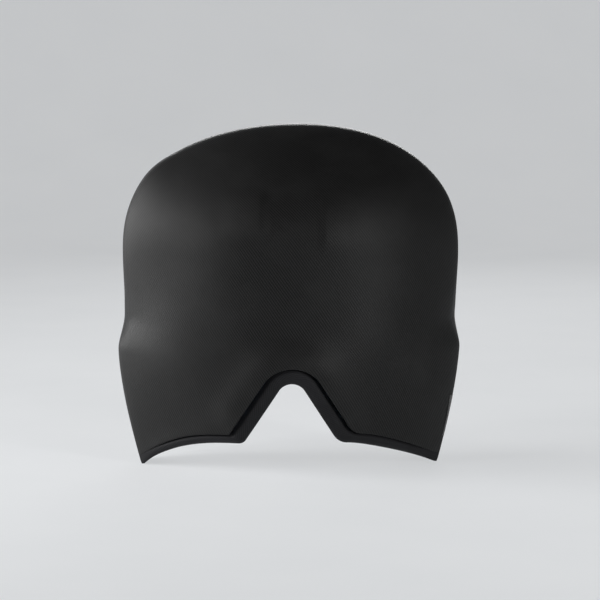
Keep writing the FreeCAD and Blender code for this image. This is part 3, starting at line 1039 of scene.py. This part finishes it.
# A panel's width is its arc from side seam to side seam. Its height is the arc up its middle plus the arch
# cut out below. The areas are those of the modelled surfaces.
sheetSizes = {
    "frontKnit": {"flat": (0.27, 0.26), "area": 0.0547},
    "backKnit": {"flat": (0.32, 0.283), "area": 0.0702},
    "frontLining": {"flat": (0.244, 0.248), "area": 0.0471},
    "backLining": {"flat": (0.29, 0.269), "area": 0.0599},
}
for name, size in sheetSizes.items():
    panel = name[:5] if name.startswith("front") else name[:4]

# ---- floor, lights and camera

stageShape = {"front": -2.6, "turnStart": 1.5, "turnRadius": 0.9, "top": 3.2, "halfWidth": 3.5}
turn = np.linspace(0.0, math.pi / 2.0, 25)
radius = stageShape["turnRadius"]
sweepY = np.concatenate([[stageShape["front"], 0.0], stageShape["turnStart"] + radius * np.sin(turn)])
sweepZ = np.concatenate([[0.0, 0.0], radius * (1.0 - np.cos(turn))])
sweepY = np.append(sweepY, sweepY[-1])
sweepZ = np.append(sweepZ, stageShape["top"])
sweepX = np.full_like(sweepY, stageShape["halfWidth"])
sweep = np.stack([np.stack([side * sweepX, sweepY, sweepZ], -1) for side in (-1, 1)], 1)
floor = meshFrom("floor", sweep[::-1] / mm, settle=False)


def seenRays(tree):
    # 1 for rays from the camera and for reflected and refracted ones, 0 for those that only carry light
    rays = addNode(tree, "ShaderNodeLightPath").outputs
    seen = scaled(tree, rays["Is Camera Ray"], rays["Is Glossy Ray"], "MAXIMUM")
    return scaled(tree, seen, rays["Is Transmission Ray"], "MAXIMUM")


def paleFloor(name, colour, glow):
    # Matt painted board. Seen straight or in a reflection it is paler than it lights the cap, and it keeps
    # the shadow.
    material, tree = newMaterial(name)
    place = addNode(tree, "ShaderNodeTexCoord").outputs["Object"]
    grain = addNode(tree, "ShaderNodeTexNoise", {"Vector": place, "Scale": 9.0, "Detail": 3.0}).outputs["Fac"]
    paintColour = blendOf(tree, fromHex(colour), fromHex("#e6e9ec"), rangeOf(tree, grain, 0.3, 0.7, 0.0, 0.2))
    board = addNode(tree, "ShaderNodeBsdfDiffuse", {"Color": paintColour})
    light = addNode(tree, "ShaderNodeEmission", {"Color": paintColour, "Strength": 0.96})
    share = scaled(tree, seenRays(tree), glow)
    sides = {0: share, 1: board.outputs["BSDF"], 2: light.outputs["Emission"]}
    mix = addNode(tree, "ShaderNodeMixShader", sides)
    addNode(tree, "ShaderNodeOutputMaterial", {"Surface": mix.outputs["Shader"]})
    return material


paint(floor, paleFloor("paleBoard", "#f0f2f4", 0.64))

world = bpy.data.worlds.new("studio")
bpy.context.scene.world = world
world.use_nodes = True
tree = world.node_tree
tree.nodes.clear()
# Seen straight or in a reflection the room is pale up to a little over the horizon. It lights the cap
# only dimly.
way = addNode(tree, "ShaderNodeTexCoord").outputs["Generated"]
height = addNode(tree, "ShaderNodeSeparateXYZ", {"Vector": way}).outputs["Z"]
seenStrength = rangeOf(tree, height, 0.02, 0.22, 0.55, 0.02)
room = addNode(tree, "ShaderNodeBackground", {"Color": fromHex("#f0f2f4"), "Strength": seenStrength})
dim = addNode(tree, "ShaderNodeBackground", {"Color": fromHex("#d6d9dc"), "Strength": 0.02})
share = seenRays(tree)
sides = {0: share, 1: dim.outputs["Background"], 2: room.outputs["Background"]}
mix = addNode(tree, "ShaderNodeMixShader", sides)
addNode(tree, "ShaderNodeOutputWorld", {"Surface": mix.outputs["Shader"]})


def addSoftbox(name, place, aim, size, power):
    light = bpy.data.lights.new(name, "AREA")
    light.shape = "RECTANGLE"
    light.size, light.size_y = size
    light.energy = power
    light.spread = math.radians(80.0)  # a grid over the lamp keeps its light off the floor beneath it
    lamp = bpy.data.objects.new(name, light)
    lamp.location = place
    lamp.rotation_euler = (Vector(aim) - Vector(place)).to_track_quat("-Z", "Y").to_euler()
    bpy.context.scene.collection.objects.link(lamp)
    return lamp


def softboxAt(name, azimuth, elevation, distance, size, power):
    # azimuth 0 is in front of the cap and 90 on its right
    turn, rise = math.radians(azimuth), math.radians(elevation)
    way = np.array([math.sin(turn) * math.cos(rise), -math.cos(turn) * math.cos(rise), math.sin(rise)])
    aim = np.array([0.0, -0.02, 0.12])
    return addSoftbox(name, tuple(aim + way * distance), tuple(aim), size, power)


softboxAt("keyLeft", -97.0, 10.0, 1.6, (0.9, 0.7), 7.4)
softboxAt("edgeLeft", -64.0, 16.0, 1.6, (0.5, 0.6), 2.0)
softboxAt("fillRight", 40.0, 10.0, 1.5, (0.2, 0.42), 1.7)
softboxAt("backSoft", 172.0, 14.0, 1.7, (0.9, 0.5), 2.2)

cameraShape = {
    "azimuth": math.radians(-3.0),
    "elevation": math.radians(6.6),
    "distance": 2.3,
    "lens": 196.0,
    "aim": (0.0074, seamPlaneY * mm - 0.0004, 0.1159),
}
c = cameraShape
away = Vector((
    math.sin(c["azimuth"]) * math.cos(c["elevation"]),
    -math.cos(c["azimuth"]) * math.cos(c["elevation"]),
    math.sin(c["elevation"]),
))
cameraData = bpy.data.cameras.new("camera")
cameraData.lens = c["lens"]
cameraData.sensor_width = 36.0
camera = bpy.data.objects.new("camera", cameraData)
camera.location = Vector(c["aim"]) + away * c["distance"]
camera.rotation_euler = (-away).to_track_quat("-Z", "Y").to_euler()
bpy.context.scene.collection.objects.link(camera)
bpy.context.scene.camera = camera
bpy.context.scene.view_settings.view_transform = "Standard"
print("floor, lights and camera set")
